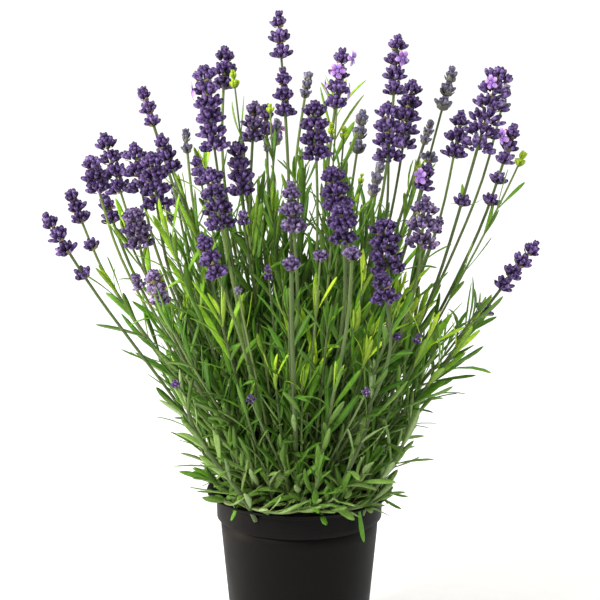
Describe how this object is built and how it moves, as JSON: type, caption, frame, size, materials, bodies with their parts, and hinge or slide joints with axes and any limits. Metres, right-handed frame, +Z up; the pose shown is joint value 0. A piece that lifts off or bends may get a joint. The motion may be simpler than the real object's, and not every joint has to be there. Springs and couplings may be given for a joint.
{
  "type": "potted lavender",
  "caption": "Bushy lavender with violet flower spikes on thin green stalks above narrow leaves, in a round black plastic nursery pot.",
  "frame": {"origin": "centre of the pot's flat underside, on the surface that it stands on", "axes": "+Z up along the pot's axis, -Y towards the front of the plant, +X to the right seen from the front"},
  "size_m": [0.3432, 0.2923, 0.463],
  "materials": {
    "pot_plastic": "satin black moulded polypropylene",
    "soil": "moist crumbly peat compost",
    "bark": "flaking grey-brown bark",
    "flower_and_stem": "downy violet calyces on a matt green stem",
    "young_flower_and_stem": "downy grey-violet calyces on a matt green stem",
    "leaf": "matt green leaf with a grey felted underside"
  },
  "bodies": {
    "root": {"flower_stalk_01": "flower_and_stem", "flower_stalk_02": "flower_and_stem", "flower_stalk_03": "flower_and_stem", "flower_stalk_04": "flower_and_stem", "flower_stalk_05": "flower_and_stem", "flower_stalk_06": "flower_and_stem", "flower_stalk_07": "young_flower_and_stem", "flower_stalk_08": "flower_and_stem", "flower_stalk_09": "flower_and_stem", "flower_stalk_10": "flower_and_stem", "flower_stalk_11": "flower_and_stem", "flower_stalk_12": "flower_and_stem", "flower_stalk_13": "flower_and_stem", "flower_stalk_14": "flower_and_stem", "flower_stalk_15": "flower_and_stem", "flower_stalk_16": "flower_and_stem", "flower_stalk_17": "young_flower_and_stem", "flower_stalk_18": "flower_and_stem", "flower_stalk_19": "young_flower_and_stem", "flower_stalk_20": "flower_and_stem", "flower_stalk_21": "flower_and_stem", "flower_stalk_22": "flower_and_stem", "flower_stalk_23": "flower_and_stem", "flower_stalk_24": "flower_and_stem", "flower_stalk_25": "flower_and_stem", "flower_stalk_26": "flower_and_stem", "flower_stalk_27": "flower_and_stem", "flower_stalk_28": "flower_and_stem", "flower_stalk_29": "flower_and_stem", "flower_stalk_30": "flower_and_stem", "flower_stalk_31": "flower_and_stem", "flower_stalk_32": "flower_and_stem", "flower_stalk_33": "young_flower_and_stem", "flower_stalk_34": "flower_and_stem", "flower_stalk_35": "flower_and_stem", "flower_stalk_36": "flower_and_stem", "flower_stalk_37": "flower_and_stem", "flower_stalk_38": "young_flower_and_stem", "flower_stalk_39": "young_flower_and_stem", "flower_stalk_40": "flower_and_stem", "flower_stalk_41": "flower_and_stem", "flower_stalk_42": "young_flower_and_stem", "flower_stalk_43": "flower_and_stem", "flower_stalk_44": "flower_and_stem", "flower_stalk_45": "young_flower_and_stem", "flower_stalk_46": "young_flower_and_stem", "flower_stalk_47": "flower_and_stem", "leafy_shoot_01": "leaf", "leafy_shoot_02": "leaf", "leafy_shoot_03": "leaf", "leafy_shoot_04": "leaf", "leafy_shoot_05": "leaf", "leafy_shoot_06": "leaf", "leafy_shoot_07": "leaf", "leafy_shoot_08": "leaf", "leafy_shoot_09": "leaf", "leafy_shoot_10": "leaf", "plastic_pot": "pot_plastic", "potting_soil": "soil", "woody_crown": "bark"}
  },
  "joints": []
}
